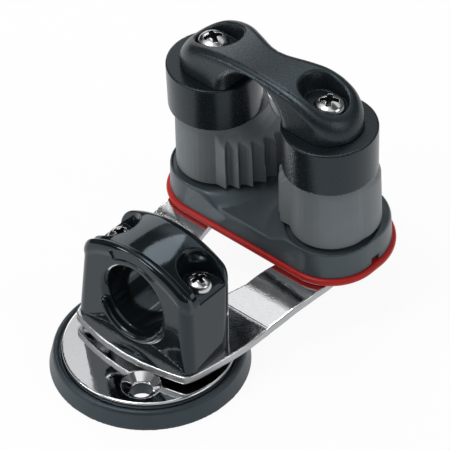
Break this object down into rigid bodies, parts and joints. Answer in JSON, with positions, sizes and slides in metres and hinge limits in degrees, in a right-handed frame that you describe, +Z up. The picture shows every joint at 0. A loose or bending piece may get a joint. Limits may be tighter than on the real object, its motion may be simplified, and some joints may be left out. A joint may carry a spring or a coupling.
{
  "type": "cam cleat swivel base",
  "caption": "Rope cam cleat and bullseye fairlead on a bent steel arm that swivels on a round screw-down base; two spring-returned toothed cams under a bridge.",
  "frame": {"origin": "on the swivel axis, at the bottom of the base ring, where it lies on the deck", "axes": "+Z up from the deck along the swivel axis; +X along the arm from the swivel to the cleat at rest; +Y towards the left cam"},
  "size_m": [0.0927, 0.0648, 0.0684],
  "materials": {
    "ring_plastic": "moulded, fine matte",
    "polished_steel": "polished stainless steel",
    "bearing_plastic": "smooth bearing plastic",
    "turned_steel": "plain stainless steel",
    "block_plastic": "moulded, high gloss",
    "screw_steel": "polished stainless steel",
    "pad_plastic": "moulded, semi-gloss",
    "cleat_plastic": "moulded, satin",
    "cam_composite": "moulded composite, satin",
    "collar_plastic": "moulded, satin",
    "bridge_plastic": "moulded, fine matte",
    "spring_steel": "drawn spring wire"
  },
  "bodies": {
    "base": {"base_ring": "ring_plastic", "base_disc": "polished_steel", "hub_bush": "bearing_plastic", "hub_thrust_washer": "bearing_plastic"},
    "arm": {"hub_sleeve": "turned_steel", "hub_retainer": "turned_steel", "hub_washer": "turned_steel", "hub_rivet": "turned_steel", "swivel_arm": "polished_steel", "bullseye_block": "block_plastic", "block_screws": "screw_steel", "cleat_pad": "pad_plastic", "cleat_base": "cleat_plastic", "cam_sleeves": "turned_steel", "cam_left_spring": "spring_steel", "cam_right_spring": "spring_steel", "cam_collars": "collar_plastic", "cleat_bridge": "bridge_plastic", "cleat_screws": "screw_steel", "cleat_washers": "turned_steel", "cleat_nuts": "turned_steel"},
    "cam_l": {"cam_left": "cam_composite", "cam_left_balls": "bearing_plastic"},
    "cam_r": {"cam_right": "cam_composite", "cam_right_balls": "bearing_plastic"}
  },
  "joints": [
    {"name": "arm_swivel", "type": "hinge", "parent": "base", "child": "arm", "pos_m": [0, 0, 0.008], "axis": [0, 0, 1], "continuous": true},
    {"name": "cam_left_hinge", "type": "hinge", "parent": "arm", "child": "cam_l", "pos_m": [0.0477, 0.01905, 0.034], "axis": [0, 0, 1], "range_deg": [0, 50], "stiffness_Nm_per_rad": 0.03, "springref_deg": -28.65, "deforming": ["cam_left_spring"]},
    {"name": "cam_right_hinge", "type": "hinge", "parent": "arm", "child": "cam_r", "pos_m": [0.0477, -0.01905, 0.034], "axis": [0, 0, 1], "range_deg": [-50, 0], "stiffness_Nm_per_rad": 0.03, "springref_deg": 28.65, "deforming": ["cam_right_spring"]}
  ]
}
